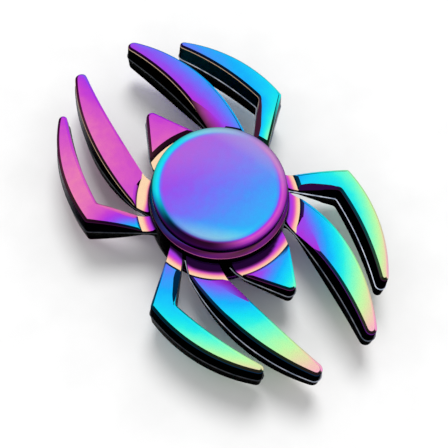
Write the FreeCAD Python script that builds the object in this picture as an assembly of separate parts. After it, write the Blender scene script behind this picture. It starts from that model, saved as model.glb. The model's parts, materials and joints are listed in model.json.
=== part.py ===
import FreeCAD, Part
import math
import os

from FreeCAD import Vector

# Spider-shaped fidget spinner: one die-cast body that turns on a 608 ball
# bearing, held between two finger caps.  Millimetres, origin at the bearing
# centre, +Z out through the top cap, +Y towards the spider's head.

# Hub collar of the casting
COLLAR_RADIUS = 13.0
COLLAR_HALF_HEIGHT = 5.45
COLLAR_EDGE_BEVEL = 0.7
COLLAR_LIP_RADIUS = 10.1

# Legs and triangles
STEP_FOOT_RADIUS = 15.35
STEP_TOP_RADIUS = 16.0
STRIP_FLOOR = 0.9
STRIP_COVE = 1.9
EDGE_BEVEL = 0.4
WALL_FLARE = 0.32
ARCH_TOP_RADIUS = 28.0
ARCH_TOP_HEIGHT = 4.65
ARCH_INNER_RADIUS = 25.0
ARCH_OUTER_RADIUS = 42.0
REACH = 42.0

# 608 bearing
BEARING_OUTER_RADIUS = 11.0
BEARING_BORE_RADIUS = 4.0
BEARING_HALF_WIDTH = 3.5
INNER_LAND_RADIUS = 6.05
OUTER_LAND_RADIUS = 9.05
BALL_COUNT = 7
BALL_RADIUS = 1.984
BALL_PITCH_RADIUS = 7.5
RACE_RADIUS = 2.02
SHIELD_SEAT_RADIUS = 9.7
SHIELD_SEAT_HEIGHT = 2.65
SHIELD_THICKNESS = 0.25
SHIELD_BORE_RADIUS = 6.3
WIRE_RADIUS = 0.22
POCKET_RADIUS = 2.05
CAGE_THICKNESS = 0.3
CAGE_INNER_RADIUS = 6.6
CAGE_OUTER_RADIUS = 8.4
RIVET_RADIUS = 0.35

# Retaining ring for the bearing
CLIP_THICKNESS = 1.0
CLIP_GROOVE_RADIUS = 11.5

# Finger caps, washers and stud
CAP_RADIUS = 12.5
CAP_UNDERSIDE = 6.0
CAP_LAND_HEIGHT = 8.2
CAP_FACE_RADIUS = 11.2
CAP_DISH_DEPTH = 0.45
CAP_BOSS_RADIUS = 5.7
CAP_SPIGOT_RADIUS = 3.97
CAP_SPIGOT_END = 0.4
WASHER_THICKNESS = 0.5
STUD_RADIUS = 2.0
STUD_HALF_LENGTH = 4.8


def unit(vector):
    return Vector(vector).normalize()


def line(start, end):
    return Part.makeLine(start, end)


def flat(x, y):
    return Vector(x, y, 0)


def profile(r, z):
    return Vector(r, 0, z)


def turned(edges):
    """Solid of revolution about the Z axis from a closed chain of edges."""
    face = Part.Face(Part.Wire(edges))
    return face.revolve(Vector(0, 0, 0), Vector(0, 0, 1), 360)


def turned_polygon(points):
    corners = [profile(r, z) for r, z in points]
    return turned(Part.makePolygon(corners + [corners[0]]).Edges)


def ring(inner, outer, bottom, top):
    return turned_polygon([(inner, bottom), (outer, bottom), (outer, top), (inner, top)])


def upside_down(shape):
    """The same shape turned half a revolution about the X axis."""
    copy = shape.copy()
    copy.rotate(Vector(0, 0, 0), Vector(1, 0, 0), 180)
    return copy


def offset(wire, distance):
    """Flat outline moved outwards, or inwards when distance is negative."""
    return wire.makeOffset2D(distance, 0, False, False)


def round_all_corners(wire, outer_radius, hollow_radius):
    """Round the outward corners of a flat outline, then its inward ones."""
    outward = offset(offset(wire, -outer_radius), outer_radius)
    return offset(offset(outward, hollow_radius), -hollow_radius)


def touching_arc(start, radius, tip, tip_radius, hollow):
    """Arc from start that runs smoothly into the round tip of a leg.

    The arc's centre lies on its left.  A hollow arc passes outside the tip
    circle, any other one wraps round it.  Returns the arc's middle and end."""
    far = radius + tip_radius if hollow else radius - tip_radius
    span = tip - start
    distance = span.Length
    along = (distance * distance + radius * radius - far * far) / (2 * distance)
    across = math.sqrt(radius * radius - along * along)
    ahead = unit(span)
    left = Vector(-ahead.y, ahead.x, 0)
    centre = start + ahead * along + left * across
    end = centre + unit(tip - centre) * radius
    middle = centre + unit((start - centre) + (end - centre)) * radius
    return middle, end


def crescent(start, start_radius, tip, tip_radius, finish, finish_radius):
    """Outer edge, round tip and hollow inner edge of a leg."""
    middle_out, end_out = touching_arc(start, start_radius, tip, tip_radius, False)
    middle_in, end_in = touching_arc(finish, finish_radius, tip, tip_radius, True)
    crown = tip + unit((end_out - tip) + (end_in - tip)) * tip_radius
    if (crown - tip).dot(tip - start) < 0:
        crown = tip * 2 - crown
    return [
        Part.Arc(start, middle_out, end_out).toShape(),
        Part.Arc(end_out, crown, end_in).toShape(),
        Part.Arc(end_in, middle_in, finish).toShape(),
    ]


def inner_leg_outline():
    """Crescent leg beside the triangle, from inside the collar to its tip."""
    heel = flat(13.2, 8.7)
    shin = flat(7.9, 13.4)
    root_inner = flat(7.6, 9.8)
    root_outer = flat(11.4, 4.6)
    blade = crescent(heel, 39.9, flat(6.3, 36.45), 1.3, shin, 94.6)
    root = [line(shin, root_inner), line(root_inner, root_outer), line(root_outer, heel)]
    return Part.Wire(blade + root)


def outer_leg_outline():
    """Bent leg beside the open flank: out to a knee, then along to its tip."""
    knee_outer = flat(23.15, 10.05)
    knee_inner = flat(18.9, 12.3)
    root_high = flat(11.6, 4.55)
    root_low = flat(12.1, 1.5)
    blade = crescent(knee_outer, 31.1, flat(14.4, 30.55), 1.0, knee_inner, 63.5)
    root = [line(knee_inner, root_high), line(root_high, root_low), line(root_low, knee_outer)]
    return Part.Wire(blade + root)


def triangle_outline():
    """Small wedge on the long axis, between the two inner legs."""
    apex = flat(0, 23.9)
    half = [flat(5.15, 15.0), flat(5.85, 13.0), flat(6.0, 10.6)]
    other = [flat(-p.x, p.y) for p in reversed(half)]
    corners = [apex] + half + other + [apex]
    return Part.makePolygon(corners)


def flared_prism(outline, height):
    """Upper half of a leg wall: widest on the mid plane, drawing in upwards
    as a die-cast wall does."""
    base = offset(outline, WALL_FLARE * 0.5)
    lid = offset(outline, -WALL_FLARE * 0.5)
    lid.translate(Vector(0, 0, height))
    return Part.makeLoft([base, lid], True, True)


def arch_height(r):
    """Height of the surface the leg tops lie on, at distance r from the hub."""
    radius = ARCH_INNER_RADIUS if r < ARCH_TOP_RADIUS else ARCH_OUTER_RADIUS
    reach = r - ARCH_TOP_RADIUS
    return ARCH_TOP_HEIGHT - radius + math.sqrt(radius * radius - reach * reach)


def arch_point(r):
    return profile(r, arch_height(r))


def leg_envelope():
    """Everything below the arched surface that caps the eight legs, outside
    the foot of the step round the hub."""
    start = arch_point(STEP_FOOT_RADIUS)
    halfway_in = arch_point((STEP_FOOT_RADIUS + ARCH_TOP_RADIUS) / 2)
    crest = arch_point(ARCH_TOP_RADIUS)
    halfway_out = arch_point((ARCH_TOP_RADIUS + REACH) / 2)
    end = arch_point(REACH)
    return turned([
        line(profile(STEP_FOOT_RADIUS, 0), start),
        Part.Arc(start, halfway_in, crest).toShape(),
        Part.Arc(crest, halfway_out, end).toShape(),
        line(end, profile(REACH, 0)),
        line(profile(REACH, 0), profile(STEP_FOOT_RADIUS, 0)),
    ])


def triangle_height(r):
    """The triangles rise more gently than the legs, on a plain cone."""
    return 1.94 + 0.2 * (r - STEP_TOP_RADIUS)


def triangle_envelope():
    near = STEP_FOOT_RADIUS
    far = 26.0
    return turned_polygon([(near, 0), (near, triangle_height(near)), (far, triangle_height(far)), (far, 0)])


def step_slope(top_height):
    """Cutter that slopes the step from its foot on the strip to the top
    surface of a leg or triangle."""
    run = STEP_TOP_RADIUS - STEP_FOOT_RADIUS
    rise = top_height - STRIP_FLOOR
    inside = STEP_FOOT_RADIUS - 0.3
    foot = (STEP_FOOT_RADIUS, STRIP_FLOOR)
    high = (STEP_TOP_RADIUS + run / 2, top_height + rise / 2)
    return turned_polygon([(inside, STRIP_FLOOR), foot, high, (inside, high[1])])


def strip_envelope():
    """Low strip between collar and step, coved up into the collar wall."""
    cove_top = profile(COLLAR_RADIUS, STRIP_FLOOR + STRIP_COVE)
    cove_foot = profile(COLLAR_RADIUS + STRIP_COVE, STRIP_FLOOR)
    centre = profile(COLLAR_RADIUS + STRIP_COVE, STRIP_FLOOR + STRIP_COVE)
    diagonal = Vector(-1, 0, -1).normalize() * STRIP_COVE
    inside = COLLAR_RADIUS - 0.8
    buried = STEP_TOP_RADIUS + 0.8
    return turned([
        line(profile(inside, 0), profile(inside, cove_top.z)),
        line(profile(inside, cove_top.z), cove_top),
        Part.Arc(cove_top, centre + diagonal, cove_foot).toShape(),
        line(cove_foot, profile(buried, STRIP_FLOOR)),
        line(profile(buried, STRIP_FLOOR), profile(buried, 0)),
        line(profile(buried, 0), profile(inside, 0)),
    ])


def on_step(edge):
    middle = edge.CenterOfMass
    return math.hypot(middle.x, middle.y) < STEP_FOOT_RADIUS + 0.1


def bevel_top(solid):
    """Bevel the edges round the top face of one leg, all but the step's."""
    rims = []
    for face in solid.Faces:
        middle = face.CenterOfMass
        if middle.z > 1.2 and face.normalAt(*face.Surface.parameter(middle)).z > 0.7:
            rims.extend(face.Edges)
    unique = []
    for edge in rims:
        shared = [other for other in rims if other.isSame(edge)]
        if len(shared) == 1 and not on_step(edge):
            unique.append(edge)
    return solid.makeChamfer(EDGE_BEVEL, unique)


def on_arch(x, y, below=0.0):
    """Point on the arched surface over (x, y), or a little below it."""
    return Vector(x, y, arch_height(math.hypot(x, y)) - below)


def root_facet(far, middle, wall):
    """Cutter for a flat facet that eases a leg's edge down towards the hub.

    The facet's plane runs through the three points, and everything above the
    triangle round them goes."""
    centre = (far + middle + wall) * (1 / 3)
    corners = [centre + (point - centre) * 1.6 for point in (far, middle, wall)]
    return Part.Face(Part.makePolygon(corners + corners[:1])).extrude(Vector(0, 0, 5))


def inner_leg_facet():
    return root_facet(on_arch(8.4, 19.5), on_arch(10.8, 11.87), on_arch(7.85, 14.0, 0.6))


def outer_leg_facet():
    return root_facet(on_arch(19.3, 11.92), on_arch(15.17, 6.85), on_arch(14.25, 7.39, 0.6))


def limb(outline, envelope, top_height, facet=None):
    """Upper half of one leg or wedge with its strip into the collar."""
    walls = flared_prism(outline, 6.0)
    blade = bevel_top(walls.common(envelope).Solids[0])
    blade = blade.cut(step_slope(top_height))
    if facet:
        blade = blade.cut(facet)
    strip = walls.common(strip_envelope())
    return blade.fuse(strip)


def all_four_quarters(shape):
    across = shape.mirror(Vector(0, 0, 0), Vector(1, 0, 0))
    pair = [shape, across]
    return pair + [half.mirror(Vector(0, 0, 0), Vector(0, 1, 0)) for half in pair]


def collar():
    """Collar round the bearing, with a lip under it and a groove over it."""
    r = COLLAR_RADIUS
    h = COLLAR_HALF_HEIGHT
    b = COLLAR_EDGE_BEVEL
    seat = BEARING_OUTER_RADIUS
    groove_bottom = BEARING_HALF_WIDTH
    groove_top = BEARING_HALF_WIDTH + CLIP_THICKNESS + 0.05
    return turned_polygon([
        (COLLAR_LIP_RADIUS, -BEARING_HALF_WIDTH),
        (COLLAR_LIP_RADIUS, -h + 0.3),
        (COLLAR_LIP_RADIUS + 0.3, -h),
        (r - b, -h),
        (r, -h + b),
        (r, h - b),
        (r - b, h),
        (seat + 0.4, h),
        (seat, h - 0.4),
        (seat, groove_top),
        (CLIP_GROOVE_RADIUS, groove_top),
        (CLIP_GROOVE_RADIUS, groove_bottom),
        (seat, groove_bottom),
        (seat, -BEARING_HALF_WIDTH),
    ])


def spider_body():
    """The whole casting: collar, eight legs and the two wedges, one metal."""
    leg_top = arch_height(STEP_TOP_RADIUS)
    inner_edge = round_all_corners(inner_leg_outline(), 0.9, 1.0)
    outer_edge = round_all_corners(outer_leg_outline(), 0.8, 1.0)
    wedge_edge = round_all_corners(triangle_outline(), 1.3, 0.8)
    inner_leg = limb(inner_edge, leg_envelope(), leg_top, inner_leg_facet())
    outer_leg = limb(outer_edge, leg_envelope(), leg_top, outer_leg_facet())
    wedge = limb(wedge_edge, triangle_envelope(), triangle_height(STEP_TOP_RADIUS))
    upper = all_four_quarters(inner_leg) + all_four_quarters(outer_leg)
    upper += [wedge, wedge.mirror(Vector(0, 0, 0), Vector(0, 1, 0))]
    lower = [piece.mirror(Vector(0, 0, 0), Vector(0, 0, 1)) for piece in upper]
    return collar().multiFuse(upper + lower).removeSplitter()


def bearing_outer_ring():
    """Outer race of the bearing, with a shield seat cut in each end."""
    half = BEARING_HALF_WIDTH
    corner = 0.3
    points = [
        (BEARING_OUTER_RADIUS - corner, -half),
        (BEARING_OUTER_RADIUS, -half + corner),
        (BEARING_OUTER_RADIUS, half - corner),
        (BEARING_OUTER_RADIUS - corner, half),
        (SHIELD_SEAT_RADIUS, half),
        (SHIELD_SEAT_RADIUS, SHIELD_SEAT_HEIGHT),
        (OUTER_LAND_RADIUS, SHIELD_SEAT_HEIGHT),
        (OUTER_LAND_RADIUS, -SHIELD_SEAT_HEIGHT),
        (SHIELD_SEAT_RADIUS, -SHIELD_SEAT_HEIGHT),
        (SHIELD_SEAT_RADIUS, -half),
    ]
    body = turned_polygon(points)
    for side in (1, -1):
        body = body.cut(wire_groove(side))
    return body.cut(race_groove())


def race_groove():
    return Part.makeTorus(BALL_PITCH_RADIUS, RACE_RADIUS)


def wire_centre_height():
    return SHIELD_SEAT_HEIGHT + SHIELD_THICKNESS + WIRE_RADIUS


def wire_groove(side):
    centre = Vector(0, 0, side * wire_centre_height())
    return Part.makeTorus(SHIELD_SEAT_RADIUS, WIRE_RADIUS + 0.03, centre, Vector(0, 0, 1))


def bearing_inner_ring():
    """Inner race, clamped between the two finger caps."""
    half = BEARING_HALF_WIDTH
    corner = 0.3
    body = turned_polygon([
        (BEARING_BORE_RADIUS + corner, -half),
        (INNER_LAND_RADIUS, -half),
        (INNER_LAND_RADIUS, half),
        (BEARING_BORE_RADIUS + corner, half),
        (BEARING_BORE_RADIUS, half - corner),
        (BEARING_BORE_RADIUS, -half + corner),
    ])
    return body.cut(race_groove())


def ball_centre(index):
    turn = 2 * math.pi * index / BALL_COUNT
    return Vector(BALL_PITCH_RADIUS * math.cos(turn), BALL_PITCH_RADIUS * math.sin(turn), 0)


def ball(index):
    return Part.makeSphere(BALL_RADIUS, ball_centre(index))


def between_balls(index):
    turn = 2 * math.pi * (index + 0.5) / BALL_COUNT
    return Vector(BALL_PITCH_RADIUS * math.cos(turn), BALL_PITCH_RADIUS * math.sin(turn), 0)


def cage_half():
    """Upper half of the pressed cage: a flat ribbon with a domed pocket over
    each ball and a rivet hole between each two."""
    band = ring(CAGE_INNER_RADIUS, CAGE_OUTER_RADIUS, 0, 3.0)
    ribbon = ring(CAGE_INNER_RADIUS, CAGE_OUTER_RADIUS, 0, CAGE_THICKNESS)
    domes = []
    pockets = []
    for index in range(BALL_COUNT):
        domes.append(Part.makeSphere(POCKET_RADIUS + CAGE_THICKNESS, ball_centre(index)))
        pockets.append(Part.makeSphere(POCKET_RADIUS, ball_centre(index)))
    holes = []
    for index in range(BALL_COUNT):
        holes.append(Part.makeCylinder(RIVET_RADIUS, 2.0, between_balls(index) - Vector(0, 0, 1)))
    shell = ribbon.multiFuse([dome.common(band) for dome in domes])
    return shell.cut(Part.makeCompound(pockets)).cut(Part.makeCompound(holes))


def cage_rivets():
    """The seven rivets that hold the cage halves together, as one node."""
    rivets = []
    head_radius = RIVET_RADIUS * 1.8
    head_height = 0.2
    for index in range(BALL_COUNT):
        place = between_balls(index)
        shank = Part.makeCylinder(RIVET_RADIUS, 2 * CAGE_THICKNESS, place - Vector(0, 0, CAGE_THICKNESS))
        upper = Part.makeCylinder(head_radius, head_height, place + Vector(0, 0, CAGE_THICKNESS))
        lower = upper.mirror(Vector(0, 0, 0), Vector(0, 0, 1))
        rivets.append(shank.multiFuse([upper, lower]).removeSplitter())
    return Part.makeCompound(rivets)


def shield():
    """Thin pressed plate over the balls, standing in the outer race's seat."""
    foot = SHIELD_SEAT_HEIGHT
    return turned_polygon([
        (SHIELD_BORE_RADIUS, foot + 0.3),
        (SHIELD_BORE_RADIUS + 1.2, foot + 0.3),
        (SHIELD_BORE_RADIUS + 1.5, foot),
        (SHIELD_SEAT_RADIUS - 0.03, foot),
        (SHIELD_SEAT_RADIUS - 0.03, foot + SHIELD_THICKNESS),
        (SHIELD_BORE_RADIUS + 1.6, foot + SHIELD_THICKNESS),
        (SHIELD_BORE_RADIUS + 1.3, foot + 0.3 + SHIELD_THICKNESS),
        (SHIELD_BORE_RADIUS, foot + 0.3 + SHIELD_THICKNESS),
    ])


def sector(angle, radius, height):
    """Wedge about +X, used to open a ring into a C."""
    half = math.radians(angle / 2)
    reach = radius / math.cos(half)
    corner = Vector(reach * math.cos(half), reach * math.sin(half), -height)
    opposite = Vector(corner.x, -corner.y, -height)
    start = Vector(0, 0, -height)
    face = Part.Face(Part.makePolygon([start, opposite, corner, start]))
    return face.extrude(Vector(0, 0, 2 * height))


def shield_wire():
    """Sprung wire that snaps in over the shield."""
    centre = Vector(0, 0, wire_centre_height())
    full = Part.makeTorus(SHIELD_SEAT_RADIUS, WIRE_RADIUS, centre, Vector(0, 0, 1))
    return full.cut(sector(16, 12, 6))


def retaining_ring():
    """Flat spring ring with two plier eyes that holds the bearing in."""
    foot = BEARING_HALF_WIDTH + 0.02
    eye_radius = 1.1
    eye_angle = math.radians(13)
    hoop = ring(10.1, CLIP_GROOVE_RADIUS - 0.04, foot, foot + CLIP_THICKNESS)
    hoop = hoop.cut(sector(18, 13, 6))
    eyes = []
    holes = []
    for turn in (eye_angle, -eye_angle):
        place = Vector(9.7 * math.cos(turn), 9.7 * math.sin(turn), foot)
        eyes.append(Part.makeCylinder(eye_radius, CLIP_THICKNESS, place))
        holes.append(Part.makeCylinder(0.5, CLIP_THICKNESS, place))
    return hoop.multiFuse(eyes).cut(Part.makeCompound(holes)).removeSplitter()


def cap():
    """Upper finger cap: dished face, crowned rim, and a boss with a spigot
    that stands in the bearing's bore and is tapped for the stud."""
    land = profile(CAP_FACE_RADIUS, CAP_LAND_HEIGHT)
    land_outer = profile(CAP_FACE_RADIUS + 0.35, CAP_LAND_HEIGHT)
    dish_bottom = profile(0, CAP_LAND_HEIGHT - CAP_DISH_DEPTH)
    sphere = (CAP_FACE_RADIUS ** 2 + CAP_DISH_DEPTH ** 2) / (2 * CAP_DISH_DEPTH)
    halfway = CAP_FACE_RADIUS / 2
    dish_middle = profile(halfway, dish_bottom.z + sphere - math.sqrt(sphere ** 2 - halfway ** 2))
    crown_end = profile(CAP_RADIUS - 0.45, CAP_LAND_HEIGHT - 0.16)
    edge_low = profile(CAP_RADIUS, CAP_LAND_HEIGHT - 0.62)
    edge_middle = profile(CAP_RADIUS - 0.13, CAP_LAND_HEIGHT - 0.29)
    boss_foot = BEARING_HALF_WIDTH + WASHER_THICKNESS
    hole_end = STUD_HALF_LENGTH + 0.4
    corners = [
        profile(CAP_RADIUS, CAP_UNDERSIDE + 0.4),
        profile(CAP_RADIUS - 0.4, CAP_UNDERSIDE),
        profile(CAP_BOSS_RADIUS, CAP_UNDERSIDE),
        profile(CAP_BOSS_RADIUS, boss_foot),
        profile(CAP_SPIGOT_RADIUS, boss_foot),
        profile(CAP_SPIGOT_RADIUS, CAP_SPIGOT_END + 0.3),
        profile(CAP_SPIGOT_RADIUS - 0.3, CAP_SPIGOT_END),
        profile(STUD_RADIUS, CAP_SPIGOT_END),
        profile(STUD_RADIUS, hole_end),
        profile(0, hole_end + 1.1),
    ]
    edges = [
        Part.Arc(dish_bottom, dish_middle, land).toShape(),
        line(land, land_outer),
        line(land_outer, crown_end),
        Part.Arc(crown_end, edge_middle, edge_low).toShape(),
        line(edge_low, corners[0]),
    ]
    for start, end in zip(corners, corners[1:]):
        edges.append(line(start, end))
    edges.append(line(corners[-1], dish_bottom))
    return turned(edges)


def washer():
    foot = BEARING_HALF_WIDTH
    return ring(BEARING_BORE_RADIUS + 0.1, CAP_BOSS_RADIUS - 0.1, foot, foot + WASHER_THICKNESS)


def stud():
    """Headless screw that draws the two caps together, hex socket in one end."""
    bevel = 0.4
    body = turned_polygon([
        (0, -STUD_HALF_LENGTH),
        (STUD_RADIUS - bevel, -STUD_HALF_LENGTH),
        (STUD_RADIUS, -STUD_HALF_LENGTH + bevel),
        (STUD_RADIUS, STUD_HALF_LENGTH - bevel),
        (STUD_RADIUS - bevel, STUD_HALF_LENGTH),
        (0, STUD_HALF_LENGTH),
    ])
    across_corners = 2.0 / math.cos(math.radians(30))
    corners = []
    for index in range(7):
        turn = math.radians(60 * index)
        x = across_corners / 2 * math.cos(turn)
        y = across_corners / 2 * math.sin(turn)
        corners.append(Vector(x, y, STUD_HALF_LENGTH - 2.0))
    socket = Part.Face(Part.makePolygon(corners)).extrude(Vector(0, 0, 3.0))
    return body.cut(socket)


def save(shape, name):
    solids = shape.Solids
    tidy = solids[0] if len(solids) == 1 else shape
    tidy.exportStep("parts/" + name + ".step")
    print(name, len(solids), tidy.isValid(), round(tidy.Volume, 3))


os.makedirs("parts", exist_ok=True)
save(spider_body(), "spider_body")
save(cap(), "top_cap")
save(upside_down(cap()), "bottom_cap")
save(washer(), "top_washer")
save(upside_down(washer()), "bottom_washer")
save(stud(), "joining_stud")
save(retaining_ring(), "retaining_ring")
save(bearing_outer_ring(), "bearing_outer_ring")
save(bearing_inner_ring(), "bearing_inner_ring")
save(cage_half(), "cage_top")
save(upside_down(cage_half()), "cage_bottom")
save(cage_rivets(), "cage_rivets")
save(shield(), "shield_top")
save(upside_down(shield()), "shield_bottom")
save(shield_wire(), "shield_wire_top")
save(upside_down(shield_wire()), "shield_wire_bottom")
for number in range(BALL_COUNT):
    save(ball(number), "ball_" + str(number + 1))
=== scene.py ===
import json
import math

import bpy
import numpy as np
from mathutils import Matrix, Vector

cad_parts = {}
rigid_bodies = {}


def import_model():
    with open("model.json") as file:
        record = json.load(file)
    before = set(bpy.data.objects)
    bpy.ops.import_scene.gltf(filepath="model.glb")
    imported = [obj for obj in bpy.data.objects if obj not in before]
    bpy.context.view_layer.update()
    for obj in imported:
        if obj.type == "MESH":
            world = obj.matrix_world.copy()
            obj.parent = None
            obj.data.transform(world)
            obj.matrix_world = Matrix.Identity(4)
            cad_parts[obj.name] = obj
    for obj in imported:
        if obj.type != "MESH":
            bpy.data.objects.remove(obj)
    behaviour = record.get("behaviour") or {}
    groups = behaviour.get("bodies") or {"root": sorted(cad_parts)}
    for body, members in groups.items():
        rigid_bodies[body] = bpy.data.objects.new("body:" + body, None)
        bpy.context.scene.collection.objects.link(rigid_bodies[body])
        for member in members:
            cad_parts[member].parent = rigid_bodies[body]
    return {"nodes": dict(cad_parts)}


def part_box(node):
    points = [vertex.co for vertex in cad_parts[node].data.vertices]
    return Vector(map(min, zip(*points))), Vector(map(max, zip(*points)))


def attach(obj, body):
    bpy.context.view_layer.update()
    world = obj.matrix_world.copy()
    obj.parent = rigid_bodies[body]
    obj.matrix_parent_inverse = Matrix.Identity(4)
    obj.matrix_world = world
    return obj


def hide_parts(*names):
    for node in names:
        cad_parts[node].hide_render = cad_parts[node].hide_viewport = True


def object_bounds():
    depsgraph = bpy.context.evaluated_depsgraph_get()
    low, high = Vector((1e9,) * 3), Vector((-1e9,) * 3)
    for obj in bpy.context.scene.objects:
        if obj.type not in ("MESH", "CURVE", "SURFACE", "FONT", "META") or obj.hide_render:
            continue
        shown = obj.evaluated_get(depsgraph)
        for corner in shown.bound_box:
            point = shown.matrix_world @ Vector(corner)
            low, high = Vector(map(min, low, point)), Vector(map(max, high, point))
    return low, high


# Looks of the spider-shaped fidget spinner: the die-cast body and the two
# finger caps get smooth meshes of their own with every edge rounded, and all
# bearing parts keep their CAD meshes under new finishes.  Shapes are worked
# out in millimetres and scaled once, when a mesh is made.

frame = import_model()
cad_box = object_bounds()

MM = 0.001

# ---------------------------------------------------------------- dimensions

CAP_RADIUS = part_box("top_cap")[1].x / MM
CAP_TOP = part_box("top_cap")[1].z / MM
SPIGOT_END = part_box("top_cap")[0].z / MM
COLLAR_HALF_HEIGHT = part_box("spider_body")[1].z / MM
SEAT_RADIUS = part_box("bearing_outer_ring")[1].x / MM
SEAT_HALF_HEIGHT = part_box("bearing_outer_ring")[1].z / MM
SPIGOT_RADIUS = 3.97
THREAD_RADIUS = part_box("joining_stud")[1].x / MM
CLIP_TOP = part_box("retaining_ring")[1].z / MM

COLLAR_RADIUS = 13.0
COLLAR_BEVEL = 0.7
LIP_RADIUS = 10.1
STEP_FOOT_RADIUS = 15.35
STEP_TOP_RADIUS = 16.0
STRIP_FLOOR = 0.9
COVE_RADIUS = 1.9
CREST_RADIUS = 28.0
CREST_HEIGHT = 4.65
ARCH_INNER = 25.0
ARCH_OUTER = 42.0
EDGE_BEVEL = 0.4
DRAFT = 0.32 / 6
WALL_STAND_OUT = 0.03
RIDGE_STAND_OUT = 0.13
RIDGE_HALF_HEIGHT = 0.15
FACE_RADIUS = 11.2
DISH_DEPTH = 0.45
CAP_UNDERSIDE = 6.0
BOSS_RADIUS = 5.7
BOSS_FOOT = 4.0

# Mesh fineness
SAMPLE = 0.04
BLADE_ROWS = 72
BLADE_COLUMNS = 18
STRIP_COLUMNS = 12
TURNS = 192

# Zones of the casting's surface, which are also its material slots
TOP, BEVEL, RIM_LINE, WALL, UNDERWALL, RIDGE, STRIP, FACET, COLLAR, COLLAR_EDGE = range(10)


# ------------------------------------------------------------ flat geometry

def point(x, y):
    return np.array([x, y], float)


def unit(vector):
    return vector / np.linalg.norm(vector)


def arc(centre, start, end, anticlockwise=False):
    """Points along an arc, the short way round unless anticlockwise is set."""
    first = math.atan2(*(start - centre)[::-1])
    last = math.atan2(*(end - centre)[::-1])
    turn = (last - first) % (2 * math.pi)
    if turn > math.pi and not anticlockwise:
        turn -= 2 * math.pi
    radius = np.linalg.norm(start - centre)
    count = max(4, int(abs(turn) * radius / SAMPLE))
    angles = first + turn * np.linspace(0, 1, count + 1)
    return centre + radius * np.stack([np.cos(angles), np.sin(angles)], axis=1)


def touching_arc(start, radius, tip, tip_radius, hollow):
    """Arc from start that runs smoothly into the round tip of a leg, its
    centre on the left.  A hollow arc passes outside the tip circle."""
    far = radius + tip_radius if hollow else radius - tip_radius
    span = tip - start
    distance = np.linalg.norm(span)
    along = (distance**2 + radius**2 - far**2) / (2 * distance)
    across = math.sqrt(radius**2 - along**2)
    ahead = span / distance
    centre = start + ahead * along + point(-ahead[1], ahead[0]) * across
    return arc(centre, start, centre + unit(tip - centre) * radius)


def evenly(points):
    """The same path with its points SAMPLE apart."""
    travel = np.concatenate([[0], np.cumsum(np.linalg.norm(np.diff(points, axis=0), axis=1))])
    marks = np.linspace(0, travel[-1], int(travel[-1] / SAMPLE) + 1)
    return np.stack([np.interp(marks, travel, points[:, k]) for k in (0, 1)], axis=1)


def softened(points, width):
    """Moving average along a path, which rounds its corners."""
    half = int(width / SAMPLE / 2)
    steps = np.arange(1, half + 1)[:, None]
    lead = points[0] + (points[0] - points[1]) * steps[::-1]
    tail = points[-1] + (points[-1] - points[-2]) * steps
    padded = np.vstack([lead, points, tail])
    kernel = np.full(2 * half + 1, 1 / (2 * half + 1))
    return np.stack([np.convolve(padded[:, k], kernel, mode="valid") for k in (0, 1)], axis=1)


class Outline:
    """Edge of one limb, run anticlockwise from inside the collar along the
    outer edge, round the tip and back along the inner edge."""

    def __init__(self, outer, tip, inner, rounding):
        before = len(evenly(outer)) - 1
        around = len(evenly(tip)) - 1
        path = np.vstack([outer, tip[1:], inner[1:]])
        self.points = softened(evenly(path), rounding)
        tangent = np.gradient(self.points, axis=0)
        tangent /= np.linalg.norm(tangent, axis=1)[:, None]
        self.inward = np.stack([-tangent[:, 1], tangent[:, 0]], axis=1)
        self.tip_start = before
        self.tip_end = before + around
        self.crown = int(np.argmax(np.hypot(*self.points.T)))

    def drawn_in(self, inset):
        """The outline moved inwards, by a number or by one for each point."""
        return self.points + self.inward * np.broadcast_to(inset, len(self.points))[:, None]

    def crossings(self, points, radius):
        """Where the outer and the inner edge cross a circle about the hub."""
        reach = np.hypot(*points.T)
        crown = self.crown
        place = np.arange(len(points))
        outer = np.interp(radius, np.maximum.accumulate(reach[:crown]), place[:crown])
        back = np.maximum.accumulate(reach[crown:][::-1])
        inner = np.interp(radius, back, place[crown:][::-1])
        return outer, inner


def at_places(points, places):
    index = np.arange(len(points))
    return np.stack([np.interp(places, index, points[:, k]) for k in (0, 1)], axis=1)


def inner_leg():
    """Crescent leg beside the wedge."""
    heel = point(13.2, 8.7)
    shin = point(7.9, 13.4)
    tip = point(6.3, 36.45)
    outer = touching_arc(heel, 39.9, tip, 1.3, False)
    inner = touching_arc(shin, 94.6, tip, 1.3, True)
    crown = arc(tip, outer[-1], inner[-1], anticlockwise=True)
    outer = np.vstack([point(11.4, 4.6), outer])
    inner = np.vstack([inner[::-1], point(7.6, 9.8)])
    return Outline(outer, crown, inner, 0.85)


def outer_leg():
    """Bent leg beside the open flank: out to a knee, then along to its tip."""
    knee_outer = point(23.15, 10.05)
    knee_inner = point(18.9, 12.3)
    tip = point(14.4, 30.55)
    outer = touching_arc(knee_outer, 31.1, tip, 1.0, False)
    inner = touching_arc(knee_inner, 63.5, tip, 1.0, True)
    crown = arc(tip, outer[-1], inner[-1], anticlockwise=True)
    outer = np.vstack([point(12.1, 1.5), outer])
    inner = np.vstack([inner[::-1], point(11.6, 4.55)])
    return Outline(outer, crown, inner, 0.75)


def wedge():
    """Small wedge on the long axis, symmetric about it."""
    shoulder = point(5.15, 15.0)
    apex = point(0, 23.9)
    tip_radius = 1.3
    slope = math.atan2(shoulder[0], apex[1] - shoulder[1])
    centre = apex - point(0, tip_radius / math.sin(slope))
    touch = centre + tip_radius * point(math.cos(slope), math.sin(slope))
    mirror = point(-1, 1)
    side = np.array([point(6.0, 10.6), point(5.85, 13.0), shoulder, touch])
    crown = arc(centre, touch, touch * mirror, anticlockwise=True)
    return Outline(side, crown, side[::-1] * mirror, 0.5)


# --------------------------------------------------------- heights of a limb

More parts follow.
